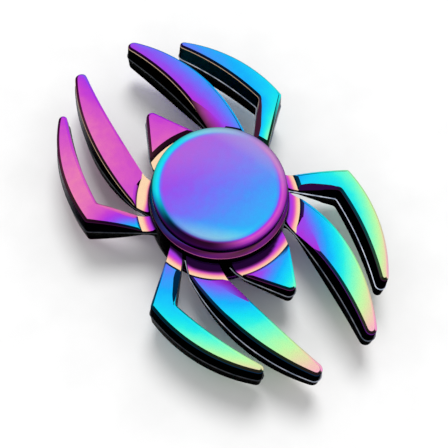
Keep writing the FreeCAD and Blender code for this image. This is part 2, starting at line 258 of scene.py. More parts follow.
def leg_height(r):
    """Height of the arched surface that the leg tops lie on."""
    radius = np.where(r < CREST_RADIUS, ARCH_INNER, ARCH_OUTER)
    return CREST_HEIGHT - radius + np.sqrt(radius**2 - (r - CREST_RADIUS) ** 2)


def wedge_height(r):
    return 1.94 + 0.2 * (r - STEP_TOP_RADIUS)


def wall_inset(z):
    """How far the drafted wall stands in from the nominal outline."""
    return DRAFT * np.abs(z) - WALL_STAND_OUT


def round_profile(corners, radii, steps=3):
    """A chain of points with each corner rounded.  Each point is (x, y, which
    corner it rounds), and that number is -1 for the two ends."""
    chain = [(*corners[0], -1)]
    for index, radius in enumerate(radii, start=1):
        corner = point(*corners[index])
        back = unit(point(*corners[index - 1]) - corner)
        ahead = unit(point(*corners[index + 1]) - corner)
        half = math.acos(np.clip(back @ ahead, -1, 1)) / 2
        centre = corner + unit(back + ahead) * radius / math.sin(half)
        start = corner + back * radius / math.tan(half)
        end = corner + ahead * radius / math.tan(half)
        first = math.atan2(*(start - centre)[::-1])
        turn = math.atan2(*(end - centre)[::-1]) - first
        turn = (turn + math.pi) % (2 * math.pi) - math.pi
        for share in np.linspace(0, 1, steps + 1):
            angle = first + turn * share
            x, y = centre + radius * point(math.cos(angle), math.sin(angle))
            chain.append((x, y, index))
    chain.append((*corners[-1], -1))
    return chain


# ------------------------------------------------------------ mesh assembly

class Builder:
    """Collects points and faces of closed shells, each face with its zone."""

    def __init__(self):
        self.points = []
        self.faces = []
        self.zones = []
        self.count = 0

    def add(self, points):
        first = self.count
        self.points.append(np.asarray(points, float))
        self.count += len(points)
        return first

    def face(self, corners, zone):
        self.faces.append(corners)
        self.zones.append(zone)

    def band(self, low, high, size, zone):
        """Quads between two closed loops of the same size."""
        for k in range(size):
            after = (k + 1) % size
            self.face((low + k, low + after, high + after, high + k), zone)

    def mesh(self, name, mirrors=((1, 1, 1),)):
        """The shells, repeated once for each mirror, as one mesh."""
        base = np.vstack(self.points)
        points, faces, zones = [], [], []
        for number, mirror in enumerate(mirrors):
            points.append(base * mirror)
            shift = number * len(base)
            flipped = np.prod(mirror) < 0
            for corners in self.faces:
                moved = [c + shift for c in corners]
                faces.append(moved[::-1] if flipped else moved)
            zones += self.zones
        mesh = bpy.data.meshes.new(name)
        mesh.from_pydata(np.vstack(points) * MM, [], faces)
        mesh.polygons.foreach_set("material_index", np.array(zones, np.int32))
        mesh.validate()
        mesh.update()
        return mesh


def object_from(mesh):
    made = bpy.data.objects.new(mesh.name, mesh)
    bpy.context.scene.collection.objects.link(made)
    return made


QUARTERS = ((1, 1, 1), (-1, 1, 1), (-1, -1, 1), (1, -1, 1))
ENDS = ((1, 1, 1), (1, -1, 1))


# -------------------------------------------------------------- the casting

def blade_levels():
    """Profile of a blade's upper half, from the parting ridge on the mid plane
    to the flat of its top: (inset, z or None, drop below the top, zone of the
    band that follows)."""
    levels = [
        (-RIDGE_STAND_OUT, 0.0, 0, RIDGE),
        (-RIDGE_STAND_OUT + 0.005, 0.02, 0, RIDGE),
        (0.0, RIDGE_HALF_HEIGHT, 0, WALL),
        (0.0, RIDGE_HALF_HEIGHT + 0.08, 0, WALL),
    ]
    corners = [(0, -0.7), (0, -EDGE_BEVEL), (EDGE_BEVEL, 0), (0.6, 0)]
    chain = round_profile(corners, (0.24, 0.24))
    zones = {(-1, 1): WALL, (1, 1): RIM_LINE, (1, 2): BEVEL, (2, 2): BEVEL}
    for index, (inset, height, corner) in enumerate(chain):
        follows = chain[index + 1][2] if index + 1 < len(chain) else -1
        levels.append((inset, None, -height, zones.get((corner, follows), TOP)))
    return levels


def spaced(start, end, count):
    """Places from start to end that lie closer together near start."""
    share = np.linspace(0, 1, count + 1)
    return start + (end - start) * (0.6 * share + 0.4 * share**2)


def blade_ring(outline, inset, z, drop, height):
    """One closed loop round a blade: outer edge, tip, inner edge, step."""
    reach = np.hypot(*outline.points.T)
    level = np.full(len(reach), float(z)) if z is not None else height(reach) - drop
    points = outline.drawn_in(inset + wall_inset(level))
    slope = (STEP_TOP_RADIUS - STEP_FOOT_RADIUS) / EDGE_BEVEL
    step = STEP_FOOT_RADIUS + inset * (slope if inset > 0 else 1)
    start, end = outline.crossings(points, step)
    outer = at_places(points, spaced(start, outline.tip_start, BLADE_ROWS))
    tip = at_places(points, np.linspace(outline.tip_start, outline.tip_end, BLADE_COLUMNS + 1))
    inner = at_places(points, spaced(end, outline.tip_end, BLADE_ROWS))[::-1]
    low = math.atan2(*outer[0][::-1])
    high = math.atan2(*inner[-1][::-1])
    turn = np.linspace(high, low, BLADE_COLUMNS + 1)
    foot = step * np.stack([np.cos(turn), np.sin(turn)], axis=1)
    flat = np.vstack([outer[:-1], tip[:-1], inner[:-1], foot[:-1]])
    heights = np.full(len(flat), float(z)) if z is not None else height(np.hypot(*flat.T)) - drop
    return np.column_stack([flat, heights]), (outer, tip, inner, foot)


def coons(outer, tip, inner, foot):
    """Grid between four edges, rows along the blade and columns across."""
    v = np.linspace(0, 1, len(outer))[:, None, None]
    u = np.linspace(0, 1, len(tip))[None, :, None]
    left = outer[:, None, :]
    right = inner[::-1][:, None, :]
    bottom = foot[::-1][None, :, :]
    top = tip[None, :, :]
    corners = (1 - u) * (1 - v) * left[:1] + u * (1 - v) * right[:1]
    corners = corners + (1 - u) * v * left[-1:] + u * v * right[-1:]
    return (1 - v) * bottom + v * top + (1 - u) * left + u * right - corners


def blade(builder, outline, height):
    """Closed shell of one blade, mirrored about the mid plane."""
    rings = []
    zones = []
    for inset, z, drop, zone in blade_levels():
        ring, edges = blade_ring(outline, inset, z, drop, height)
        rings.append(ring)
        zones.append(zone)
    size = len(rings[0])
    flip = np.array([1, 1, -1])
    ids_up = [builder.add(ring) for ring in rings]
    ids_down = [ids_up[0]] + [builder.add(ring * flip) for ring in rings[1:]]
    for k in range(len(rings) - 1):
        builder.band(ids_up[k], ids_up[k + 1], size, zones[k])
        builder.band(ids_down[k + 1], ids_down[k], size, UNDERWALL if zones[k] == WALL else zones[k])
    grid = coons(*edges)
    rows, columns = grid.shape[0] - 1, grid.shape[1] - 1
    core = grid[1:-1, 1:-1].reshape(-1, 2)
    core = np.column_stack([core, height(np.hypot(*core.T))])
    for side in (1, -1):
        rim = ids_up[-1] if side == 1 else ids_down[-1]
        first = builder.add(core * (1, 1, side))

        def vertex(i, j):
            if j == 0 and i < rows:
                return rim + i
            if i == rows and j < columns:
                return rim + rows + j
            if j == columns and i > 0:
                return rim + rows + columns + (rows - i)
            if i == 0:
                return rim + (2 * rows + columns + (columns - j)) % size
            return first + (i - 1) * (columns - 1) + (j - 1)

        for i in range(rows):
            for j in range(columns):
                quad = (vertex(i, j), vertex(i + 1, j), vertex(i + 1, j + 1), vertex(i, j + 1))
                builder.face(quad if side == 1 else quad[::-1], TOP)


def strip_rows():
    """Radius and height of each cross-section of the coved strip that joins
    a limb to the collar."""
    cove_centre = COLLAR_RADIUS + COVE_RADIUS
    cove_top = STRIP_FLOOR + COVE_RADIUS
    rows = []
    for angle in np.radians(np.linspace(8, 90, 12)):
        r = cove_centre - COVE_RADIUS * math.cos(angle)
        rows.append((r, cove_top - COVE_RADIUS * math.sin(angle)))
    inside = [(12.6, rows[0][1] + 0.06), (12.9, rows[0][1] + 0.04)]
    beyond = [(15.3, STRIP_FLOOR), (15.7, STRIP_FLOOR), (16.3, STRIP_FLOOR)]
    return inside + rows + beyond


def strip(builder, outline):
    """Closed tube of sections across the strip, a hair inside the blade."""
    hair = 0.02
    chain = round_profile([(0, -0.4), (0, 0), (0.35, 0)], (0.14,))
    sections = []
    for r, top in strip_rows():
        levels = [(-RIDGE_STAND_OUT, 0.0), (-RIDGE_STAND_OUT + 0.005, 0.02), (0.0, RIDGE_HALF_HEIGHT)]
        levels += [(inset, top + height) for inset, height, _ in chain]
        low, high = [], []
        for inset, z in levels:
            points = outline.drawn_in(hair + inset + wall_inset(z))
            places = outline.crossings(points, r)
            ends = at_places(points, np.array(places))
            low.append(math.atan2(*ends[0][::-1]))
            high.append(math.atan2(*ends[1][::-1]))
        across = list(np.linspace(low[-1], high[-1], STRIP_COLUMNS + 1)[1:-1])
        heights = [z for _, z in levels]
        angles = low + across + high[::-1]
        upper = heights + [heights[-1]] * len(across) + heights[::-1]
        angles += high[1:] + across[::-1] + low[:0:-1]
        lower = [-z for z in heights[1:]] + [-heights[-1]] * len(across) + [-z for z in heights[:0:-1]]
        angles = np.array(angles)
        sections.append(np.column_stack([r * np.cos(angles), r * np.sin(angles), upper + lower]))
    size = len(sections[0])
    side = len(levels)
    ids = [builder.add(section) for section in sections]
    half = 2 * side + STRIP_COLUMNS - 1
    for near, far in zip(ids, ids[1:]):
        for k in range(size):
            after = (k + 1) % size
            on_side = strip_zone(k, size, half)
            quad = (near + k, far + k, far + after, near + after)
            builder.face(quad, on_side if on_side is not None else STRIP)
    builder.face([ids[0] + k for k in range(size)], STRIP)
    builder.face([ids[-1] + k for k in reversed(range(size))], STRIP)


def strip_zone(k, size, half):
    """Zone of the band after point k of a strip's section, where it is one
    of the walls; the section runs over the top and back underneath."""
    if k < 2 or half - 3 <= k < half + 1 or k >= size - 2:
        return RIDGE
    if k < 4 or half - 5 <= k < half - 3:
        return WALL
    if half + 1 <= k < half + 3 or size - 4 <= k < size - 2:
        return UNDERWALL
    return None


def on_arch(x, y, below=0.0):
    return np.array([x, y, float(leg_height(np.hypot(x, y))) - below])


def facet_cutter(builder, far, middle, wall):
    """Prism whose underside is the facet that eases a leg's edge down
    towards the hub."""
    centre = (far + middle + wall) / 3
    low = np.array([centre + (p - centre) * 1.6 for p in (far, middle, wall)])
    if np.cross(low[1] - low[0], low[2] - low[0])[2] < 0:
        low = low[::-1]
    first = builder.add(np.vstack([low, low + (0, 0, 5)]))
    builder.face((first + 2, first + 1, first), FACET)
    builder.face((first + 3, first + 4, first + 5), FACET)
    for k in range(3):
        after = (k + 1) % 3
        builder.face((first + k, first + after, first + 3 + after, first + 3 + k), FACET)


def lathe(builder, chain, zone_of, closed):
    """Surface of revolution of (r, z, tag) points.  An open chain starts and
    ends on the axis.  zone_of gives the zone of the band after each point."""
    angles = np.linspace(0, 2 * math.pi, TURNS, endpoint=False)
    circle = np.stack([np.cos(angles), np.sin(angles)], axis=1)
    inner = chain if closed else chain[1:-1]
    ids = []
    for r, z, _ in inner:
        ids.append(builder.add(np.column_stack([circle * r, np.full(TURNS, z)])))
    pairs = list(zip(range(len(inner)), range(1, len(inner))))
    if closed:
        pairs.append((len(inner) - 1, 0))
    for a, b in pairs:
        builder.band(ids[a], ids[b], TURNS, zone_of(inner[a], inner[b]))
    if closed:
        return
    for end, loop, zone_pair in ((chain[0], ids[0], inner[0]), (chain[-1], ids[-1], inner[-1])):
        pole = builder.add([(0, 0, end[1])])
        for k in range(TURNS):
            after = (k + 1) % TURNS
            if end is chain[0]:
                builder.face((pole, loop + after, loop + k), zone_of(end, zone_pair))
            else:
                builder.face((pole, loop + k, loop + after), zone_of(zone_pair, end))


def collar_chain():
    """Closed profile of the collar, anticlockwise in (r, z)."""
    r = COLLAR_RADIUS
    h = COLLAR_HALF_HEIGHT
    b = COLLAR_BEVEL
    seat = SEAT_RADIUS
    half = SEAT_HALF_HEIGHT
    groove = SEAT_RADIUS + 0.5
    groove_top = CLIP_TOP + 0.03
    corners = [
        (r, 0), (r, 3.1), (r, h - b), (r - b, h), (seat + 0.4, h), (seat, h - 0.4),
        (seat, groove_top), (groove, groove_top), (groove, half), (seat, half),
        (seat, -half), (LIP_RADIUS, -half), (LIP_RADIUS, -h + 0.3), (LIP_RADIUS + 0.3, -h),
        (r - b, -h), (r, -h + b), (r, -3.1), (r, 0),
    ]
    radii = [0, 0.22, 0.2, 0.12, 0.12, 0, 0, 0, 0, 0, 0.1, 0.12, 0.12, 0.2, 0.22, 0]
    chain = []
    for index in range(1, len(corners) - 1):
        if radii[index - 1] == 0:
            chain.append((*corners[index], 0))
            continue
        piece = round_profile(corners[index - 1:index + 2], (radii[index - 1],))
        chain += [(x, y, index) for x, y, _ in piece[1:-1]]
    return chain


def collar_zone(a, b):
    lower_edge = abs(a[1]) < COLLAR_HALF_HEIGHT - COLLAR_BEVEL + 0.12
    if a[2] and a[2] == b[2] and a[0] > COLLAR_RADIUS - 0.2 and lower_edge:
        return COLLAR_EDGE
    return COLLAR


def combine(base, tool, operation):
    """Applies one boolean between two closed meshes and drops the tool."""
    modifier = base.modifiers.new("combine", "BOOLEAN")
    modifier.operation = operation
    modifier.solver = "MANIFOLD"
    modifier.object = tool
    graph = bpy.context.evaluated_depsgraph_get()
    mesh = bpy.data.meshes.new_from_object(base.evaluated_get(graph), depsgraph=graph)
    base.modifiers.clear()
    base.data = mesh
    bpy.data.objects.remove(tool)


def casting():
    """The whole casting as one closed mesh."""
    legs = {"inner": inner_leg(), "outer": outer_leg(), "wedge": wedge()}
    quarter_blades, quarter_strips = Builder(), Builder()
    for name in ("inner", "outer"):
        blade(quarter_blades, legs[name], leg_height)
        strip(quarter_strips, legs[name])
    end_blade, end_strip = Builder(), Builder()
    blade(end_blade, legs["wedge"], wedge_height)
    strip(end_strip, legs["wedge"])
    cutters = Builder()
    facet_cutter(cutters, on_arch(8.4, 19.5), on_arch(10.8, 11.87), on_arch(7.85, 14.0, 0.6))
    facet_cutter(cutters, on_arch(19.3, 11.92), on_arch(15.17, 6.85), on_arch(14.25, 7.39, 0.6))
    ring = Builder()
    lathe(ring, collar_chain(), collar_zone, closed=True)

    body = object_from(quarter_blades.mesh("rainbow_casting", QUARTERS))
    both_sides = QUARTERS + tuple((x, y, -1) for x, y, _ in QUARTERS)
    combine(body, object_from(cutters.mesh("facets", both_sides)), "DIFFERENCE")
    combine(body, object_from(end_blade.mesh("wedges", ENDS)), "UNION")
    combine(body, object_from(quarter_strips.mesh("strips", QUARTERS)), "UNION")
    combine(body, object_from(end_strip.mesh("wedge_strips", ENDS)), "UNION")
    combine(body, object_from(ring.mesh("collar")), "UNION")
    return body, legs


# --------------------------------------------------------- the finger caps

CAP_FACE, CAP_RIM, CAP_SIDE, CAP_UNDER = range(4)


def cap_chain(side):
    """Open profile of a cap from the axis over its face and rim, down its
    side, under it and up its threaded hole.  side is 1 above, -1 below."""
    sphere = (FACE_RADIUS**2 + DISH_DEPTH**2) / (2 * DISH_DEPTH)
    bottom = CAP_TOP - DISH_DEPTH
    chain = []
    for r in np.linspace(0, FACE_RADIUS - 0.35, 22):
        chain.append((r, bottom + sphere - math.sqrt(sphere**2 - r**2), CAP_FACE))
    rim = round_profile(
        [
            chain[-1][:2],
            (FACE_RADIUS, CAP_TOP),
            (FACE_RADIUS + 0.35, CAP_TOP),
            (CAP_RADIUS - 0.12, CAP_TOP - 0.2),
            (CAP_RADIUS, CAP_TOP - 0.75),
            (CAP_RADIUS, CAP_UNDERSIDE + 0.4),
            (CAP_RADIUS - 0.4, CAP_UNDERSIDE),
            (BOSS_RADIUS, CAP_UNDERSIDE),
        ],
        (0.8, 0.6, 0.35, 0.5, 0.2, 0.2),
        steps=5,
    )
    for r, z, corner in rim[1:-1]:
        chain.append((r, z, CAP_RIM if corner in (1, 2, 3) else CAP_SIDE))
    hole_end = BOSS_FOOT + 1.2
    for r, z in (
        (BOSS_RADIUS, CAP_UNDERSIDE),
        (BOSS_RADIUS, BOSS_FOOT),
        (SPIGOT_RADIUS, BOSS_FOOT),
        (SPIGOT_RADIUS, SPIGOT_END + 0.3),
        (SPIGOT_RADIUS - 0.3, SPIGOT_END),
        (THREAD_RADIUS, SPIGOT_END),
        (THREAD_RADIUS, hole_end),
        (0, hole_end + 1.1),
    ):
        chain.append((r, z, CAP_UNDER))
    chain = [(r, z * side, tag) for r, z, tag in chain]
    return chain[::-1] if side == 1 else chain


def cap(name, side):
    builder = Builder()
    lathe(builder, cap_chain(side), lambda a, b: max(a[2], b[2]), closed=False)
    return object_from(builder.mesh(name))


# ----------------------------------------------------- film thickness, shade

# The coating's colour follows the thickness of its clear film.  Thickness here
# is a number from 0 to FILM_END, and these are the places of its colours.
STRAW = 0.0
PINK = 0.24
MAGENTA = 0.32
VIOLET = 0.42
INDIGO = 0.53
BLUE = 0.67
CYAN = 0.85
AQUA = 1.0
GREEN = 1.1
LIME = 1.2
GOLD = 1.3
ROSE = 1.5

# Painted brightness: levels of painted light and shade
BRIGHT = 0.95
HALF = 0.5
DIM = 0.25
DARK = 0.06
BLACK = 0.02

# Colours of each leg at its root, middle and tip: first at the outer edge, then
# at the inner edge.  Legs are named by the side of the body they are on: x to
# the right, y to the front.
LEG_FILM = {
    ("outer", -1, 1): ((CYAN, MAGENTA), (PINK, PINK), (MAGENTA, VIOLET)),
    ("inner", -1, 1): ((MAGENTA, MAGENTA), (PINK, MAGENTA), (MAGENTA, INDIGO)),
    ("inner", 1, 1): ((BLUE, MAGENTA), (BLUE, VIOLET), (INDIGO, VIOLET)),
    ("outer", 1, 1): ((LIME, INDIGO), (CYAN, BLUE), (BLUE, INDIGO)),
    ("outer", 1, -1): ((BLUE, CYAN), (GREEN, CYAN), (ROSE, GOLD)),
    ("inner", 1, -1): ((BLUE, MAGENTA), (GREEN, CYAN), (ROSE, ROSE)),
    ("outer", -1, -1): ((INDIGO, BLUE), (CYAN, CYAN), (ROSE, GOLD)),
    ("inner", -1, -1): ((INDIGO, VIOLET), (AQUA, AQUA), (ROSE, ROSE)),
}

# Colour and brightness of each leg's root facet, of the line along the foot of its bevel and of its
# wall, then the brightness of its parting ridge and of its wall below that. The brightnesses are painted
# light and shade: painted shade on the darker facets, lines and walls, a painted highlight on the
# brighter lines and on the ridge, and a painted reflection on the wall below the ridge.
DETAIL = {
    ("outer", -1, 1): ((PINK, BRIGHT), (MAGENTA, DARK), (INDIGO, BLACK), DARK, DIM),
    ("inner", -1, 1): ((MAGENTA, BRIGHT), (STRAW, HALF), (VIOLET, BLACK), DARK, DARK),
    ("inner", 1, 1): ((PINK, DARK), (STRAW, HALF), (STRAW, BLACK), DARK, DIM),
    ("outer", 1, 1): ((PINK, DARK), (STRAW, HALF), (CYAN, DARK), HALF, DIM),
    ("outer", 1, -1): ((VIOLET, DARK), (MAGENTA, DARK), (BLUE, BLACK), BRIGHT, DIM),
    ("inner", 1, -1): ((VIOLET, BRIGHT), (VIOLET, DIM), (INDIGO, BLACK), DIM, DIM),
    ("outer", -1, -1): ((BLUE, DARK), (BLUE, DARK), (AQUA, BLACK), DARK, DIM),
    ("inner", -1, -1): ((VIOLET, HALF), (BLUE, DARK), (BLUE, BLACK), HALF, DIM),
}

# Colours of each wedge: left and right beside the hub, then at its far end
WEDGE_FILM = {
    1: ((PINK, MAGENTA), (MAGENTA, VIOLET)),
    -1: ((MAGENTA, BLUE), (CYAN, LIME)),
}

# Bearing of the body's x axis in the usual view.  Bearings below run from
# the right of that view, anticlockwise.
VIEW_BEARING = math.radians(41.4)


def smooth_between(stations, share):
    """Smooth curve through evenly spaced values (Catmull-Rom)."""
    values = np.asarray(stations, float)
    last = len(values) - 1
    place = np.clip(share, 0, 1) * last
    left = np.minimum(place.astype(int), last - 1)
    t = place - left
    padded = np.concatenate([[2 * values[0] - values[1]], values, [2 * values[-1] - values[-2]]])
    p0, p1, p2, p3 = (padded[left + k] for k in range(4))
    curve = 2 * p1 + (p2 - p0) * t + (2 * p0 - 5 * p1 + 4 * p2 - p3) * t**2
    return 0.5 * (curve + (3 * p1 - p0 - 3 * p2 + p3) * t**3)


def ease(low, high, value):
    """0 below low, 1 above high, and smooth between."""
    t = np.clip((value - low) / (high - low), 0, 1)
    return t * t * (3 - 2 * t)


def mixed(a, b, share):
    return a + (b - a) * share


class Corners:
    """Position, zone and facing of every face corner of a mesh."""

    def __init__(self, mesh):
        where = np.empty(len(mesh.vertices) * 3)
        mesh.vertices.foreach_get("co", where)
        vertex = np.empty(len(mesh.loops), np.int64)
        mesh.loops.foreach_get("vertex_index", vertex)
        zone = np.empty(len(mesh.polygons), np.int32)
        mesh.polygons.foreach_get("material_index", zone)
        size = np.empty(len(mesh.polygons), np.int64)
        mesh.polygons.foreach_get("loop_total", size)
        normal = np.empty(len(mesh.polygons) * 3)
        mesh.polygons.foreach_get("normal", normal)
        normal = normal.reshape(-1, 3)
        facing = np.arctan2(normal[:, 1], normal[:, 0]) + VIEW_BEARING
        self.x, self.y, self.z = (where.reshape(-1, 3) / MM)[vertex].T
        self.r = np.hypot(self.x, self.y)
        self.bearing = np.arctan2(self.y, self.x) + VIEW_BEARING
        self.zone = np.repeat(zone, size)
        self.facing = np.repeat(facing, size)


def leg_spans(outline):
    """Polar angle of the outer and inner edge as functions of the radius."""
    reach = np.hypot(*outline.points.T)
    angle = np.arctan2(outline.points[:, 1], outline.points[:, 0])
    crown = outline.crown
    outer = (np.maximum.accumulate(reach[:crown]), angle[:crown])
    inner = (np.maximum.accumulate(reach[crown:][::-1]), angle[crown:][::-1])
    return outer, inner, reach[crown]


def wedge_film(at, chosen, side_y):
    (low_left, low_right), (high_left, high_right) = WEDGE_FILM[side_y]
    share = np.clip((at.x[chosen] + 5) / 10, 0, 1)
    rise = np.clip((np.abs(at.y[chosen]) - 15) / 8, 0, 1)
    low = mixed(low_left, low_right, share)
    high = mixed(high_left, high_right, share)
    return mixed(low, high, rise)


def paint_casting(body, legs):
    """Film thickness and brightness, which is painted light and shade, at every face corner of the
    casting.
    """
    mesh = body.data
    at = Corners(mesh)
    spans = {name: leg_spans(outline) for name, outline in legs.items()}
    angle = np.arctan2(np.abs(at.y), np.abs(at.x))
    edges = {}
    for name in ("outer", "inner"):
        (outer_r, outer_a), (inner_r, inner_a), tip = spans[name]
        start = np.interp(at.r, outer_r, outer_a)
        end = np.interp(at.r, inner_r, inner_a)
        across = np.clip((angle - start) / np.maximum(end - start, 0.01), 0, 1)
        along = (at.r - 16.1) / (tip - 16.1)
        edges[name] = (start, end, across, along)
    between = (edges["outer"][1] + edges["inner"][0]) / 2
    past_tip = at.r > spans["outer"][2] + 0.6
    is_outer = (angle < between) & ~past_tip
    is_wedge = (np.abs(at.x) < 6.3) & (at.r < 24.2) & (angle > edges["inner"][1] + 0.02)

    film = np.full(len(at.x), 0.5)
    # Defaults, used on the wedges: the line's colour and painted brightness, the wall's colour and
    # painted shade, the facet, and the painted brightness of the ridge and of the wall below it.
    line = np.tile((0.3, 0.15), (len(at.x), 1))
    wall = np.tile((0.5, 0.008), (len(at.x), 1))
    facet = wall.copy()
    ridge = np.full(len(at.x), 0.3)
    under = ridge.copy()
    for (name, side_x, side_y), stations in LEG_FILM.items():
        _, _, across, along = edges[name]
        chosen = (np.sign(at.x) == side_x) & (np.sign(at.y) == side_y) & ~is_wedge
        chosen &= is_outer if name == "outer" else ~is_outer
        outer_value = smooth_between([s[0] for s in stations], along[chosen])
        inner_value = smooth_between([s[1] for s in stations], along[chosen])
        film[chosen] = mixed(outer_value, inner_value, across[chosen])
        detail = DETAIL[name, side_x, side_y]
        facet[chosen], line[chosen], wall[chosen], ridge[chosen], under[chosen] = detail
    for side_y in WEDGE_FILM:
        chosen = is_wedge & (np.sign(at.y) == side_y)
        film[chosen] = wedge_film(at, chosen, side_y)

    # Painted highlight and shade for the usual view: bevels and the lines at their foot that face away
    # from it are painted bright as highlights, and the others are painted dark as shade.
    shade = np.ones(len(at.x))
    bright = ease(-0.05, 0.25, np.cos(at.facing - math.radians(60)))
    near = ease(0.1, 0.8, -np.sin(at.facing))
    rims = (at.zone == BEVEL) | (at.zone == RIM_LINE)
    on_slope = rims & (at.r < STEP_TOP_RADIUS - 0.12)
    on_bevel = at.zone == BEVEL
    on_line = at.zone == RIM_LINE
    edge_film = film + 0.05
    film[on_bevel] = mixed(film - 0.04, edge_film, bright)[on_bevel]
    shade[on_bevel] = mixed(mixed(0.10, 0.02, near), 1.0, bright)[on_bevel]
    film[on_line] = mixed(line[:, 0], edge_film, bright)[on_line]
    shade[on_line] = mixed(line[:, 1], 0.8, bright)[on_line]
    # The slope of the step is painted dark as painted shade.
    shade[on_slope] = 0.02

    # Walls: painted dark as painted shade, standing for their dark reflection, with a trace of each
    # leg's film colour.
    walls = (at.zone == WALL) | (at.zone == UNDERWALL)
    film[walls] = wall[walls, 0]
    shade[walls] = wall[walls, 1]
    # The parting ridge: a painted highlight line, its brightness set per leg.
    on_ridge = at.zone == RIDGE
    shade[on_ridge] = ridge[on_ridge]
    # The wall below the ridge: a painted reflection band, its brightness set per leg.
    shade[at.zone == UNDERWALL] = under[at.zone == UNDERWALL]
    # Facets: the facet's colour and painted shade, full towards the leg's edge and faded out across the
    # leg.
    on_facet = at.zone == FACET
    fade = ease(0.62, 0.95, edges["inner"][2])
    fade[is_outer] = 1.0
    soft = is_outer & (at.x < 0) & (at.y > 0)
    fade[soft] = ease(0.4, 0.95, edges["outer"][2])[soft]
    film[on_facet] = mixed(film, facet[:, 0], fade)[on_facet]
    shade[on_facet] = mixed(1.0, facet[:, 1], fade)[on_facet]

    # Strips: yellow on the flat, through magenta to dark where they climb the collar; on the left of the
    # usual view they stay yellow to the top. The dark end is painted shade, which reaches further out on
    # the near side.
    left = ease(0.3, 0.9, -np.cos(at.bearing)) * (1 - 0.7 * ease(0.05, 0.3, -np.sin(at.bearing)))
    nearness = ease(0.66, 0.9, np.cos(at.bearing + math.radians(75)))
    stops = (13.6, 14.0, 14.4, 14.7, 14.95, 15.25)
    strip_film = np.interp(at.r + 1.2 * left, stops, (0.45, 0.40, 0.30, 0.17, 0.06, 0.0))
    dark_end = 13.2 + 0.9 * nearness
    on_strip = at.zone == STRIP
    film[on_strip] = strip_film[on_strip]
    shade[on_strip] = (0.04 + 0.96 * ease(dark_end - 0.1, dark_end + 0.45, at.r))[on_strip]

    # Collar: colour by bearing, painted shade that darkens it lower down, and streaks of painted
    # reflection in both colour and brightness.
    collar_film = 0.6 + 0.3 * np.cos(at.bearing - math.radians(120))
    collar_shade = 0.15 + 0.08 * np.cos(at.bearing + math.radians(40))
    reflection_streak = np.sin(5 * at.bearing + 9 * at.r) * np.sin(3 * at.bearing - 5 * np.abs(at.z))
    on_collar = at.zone == COLLAR
    film[on_collar] = (collar_film + 0.12 * reflection_streak)[on_collar]
    height = np.interp(np.abs(at.z), (3.0, 4.6, 4.9), (0.05, 0.25, 1.0))
    shade[on_collar] = (collar_shade * height * (1 + 0.75 * reflection_streak))[on_collar]
    # The rounded edge below the collar's bevel: a pink painted highlight line, brightest towards the
    # near side.
    on_edge = at.zone == COLLAR_EDGE
    film[on_edge] = 0.25
    shade[on_edge] = (0.08 + 0.5 * ease(0.3, 0.9, np.cos(at.bearing + math.radians(70))))[on_edge]
    store(mesh, film=film, shade=shade)


def paint_cap(made):
    """Film thickness, brightness and the grey of the room's reflection at every face corner of a cap:
    the brightness is painted light and shade, and the grey is a painted reflection.
    """
    mesh = made.data
    at = Corners(mesh)
    u = np.minimum(at.r, 11.0) * np.cos(at.bearing) / FACE_RADIUS
    v = np.minimum(at.r, 11.0) * np.sin(at.bearing) / FACE_RADIUS
    face_film = 0.57 + 0.12 * u - 0.10 * v + 0.16 * ease(0.55, 1.0, -0.1 * u - v)
    # Painted reflection of the grey room over the face: towards its far and near edges, with a little
    # everywhere, most on the far side.
    veil_far = ease(0.45, 1.0, 0.45 * u + 0.9 * v)
    veil_near = ease(0.6, 1.05, -0.15 * u - v)
    overall_reflection = 0.2 * ease(-0.1, 0.6, 0.9 * v - 0.1 * u) + 0.05
    face_veil = np.maximum(0.55 * np.maximum(veil_far, veil_near), overall_reflection)
    # The rim is cyan on the left and magenta on the right of the usual view, painted dark as painted
    # shade on the near left and greyed by a painted reflection of the room on the far right.
    rim_film = mixed(MAGENTA, CYAN, ease(-0.3, 0.6, np.cos(at.bearing - math.radians(150))))
    rim_shade = 1 - 0.97 * ease(0.55, 0.95, np.cos(at.bearing + math.radians(115)))
    rim_veil = 0.65 * ease(0.3, 1.0, np.cos(at.bearing - math.radians(65)))
    on_rim = ease(10.6, 11.45, at.r)
    film = mixed(face_film, rim_film, on_rim)
    shade = mixed(1.0, rim_shade, on_rim)
    veil = mixed(face_veil, rim_veil, on_rim)
    # Painted shade on the side below the rim, purple on the near side.
    low = ease(11.95, 12.4, at.r)
    near = ease(0.0, 0.5, -np.sin(at.bearing))
    film = mixed(film, mixed(film + 0.08, 0.42, near), low)
    shade = mixed(shade, 0.06 + 0.25 * shade, low)
    # The underside: painted dim as painted shade, with no painted reflection.
    under = at.zone == CAP_UNDER
    film[under] = 0.5
    shade[under] = 0.25
    veil[under] = 0.0
    store(mesh, film=film, shade=shade, veil=veil)


def store(mesh, **layers):
    for name, values in layers.items():
        attribute = mesh.attributes.new(name, "FLOAT", "CORNER")
        attribute.data.foreach_set("value", values.astype(np.float32))


# ------------------------------------------------------------------ finishes

# Light from the top and from the foot of the clear film adds up or cancels by
# the extra path, here in nanometres.  Second-order colours run over this range.
PATH_START = 635
PATH_RUN = 391
FILM_END = 1.7
RAMP_STOPS = 24
WAVELENGTHS = (630, 530, 450)
MIDDLE = (0.52, 0.54, 0.72)
SWING = (0.56, 0.50, 0.32)


def interference(thickness):
    """Linear colour of the film at a thickness from 0 to FILM_END."""
    path = PATH_START + PATH_RUN * thickness
    made = []
    for wavelength, middle, swing in zip(WAVELENGTHS, MIDDLE, SWING):
        value = middle + swing * math.cos(2 * math.pi * path / wavelength)
        made.append(min(max(value, 0.01), 1.0))
    return (*made, 1.0)


def linear(rgb):
    """sRGB 0-255 to a linear colour."""
    made = []
    for value in rgb:
        share = value / 255
        made.append(share / 12.92 if share <= 0.04045 else ((share + 0.055) / 1.055) ** 2.4)
    return (*made, 1.0)


